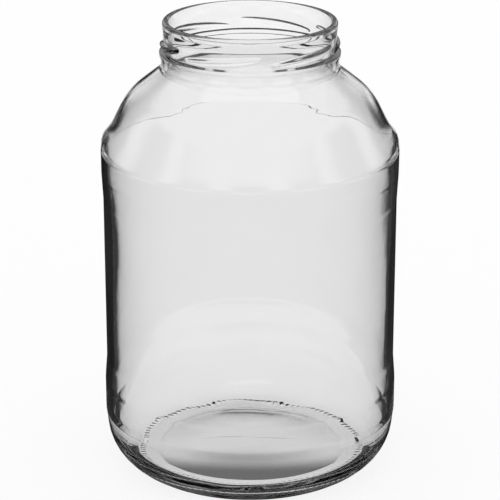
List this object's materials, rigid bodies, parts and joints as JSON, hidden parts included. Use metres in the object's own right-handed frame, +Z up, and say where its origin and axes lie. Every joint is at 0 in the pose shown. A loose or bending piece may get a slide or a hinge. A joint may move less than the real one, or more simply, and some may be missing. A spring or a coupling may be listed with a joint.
{
  "type": "glass screw-top jar",
  "caption": "Large clear glass storage jar with a wide twist-off mouth, empty and without its lid: lugs and a bead on the neck, domed shoulder, recessed label panel and knurled bearing ring",
  "frame": {"origin": "on the jar's axis, in the plane that the bearing ring stands on", "axes": "+Z up along the jar's axis to the mouth; -Y is the front, where the two mould seams lie to the left and right"},
  "size_m": [0.1836, 0.1836, 0.2852],
  "materials": {
    "glass": "clear colourless soda-lime glass, fire polished, with a knurled bearing ring"
  },
  "bodies": {
    "root": {"jar": "glass"}
  },
  "joints": []
}
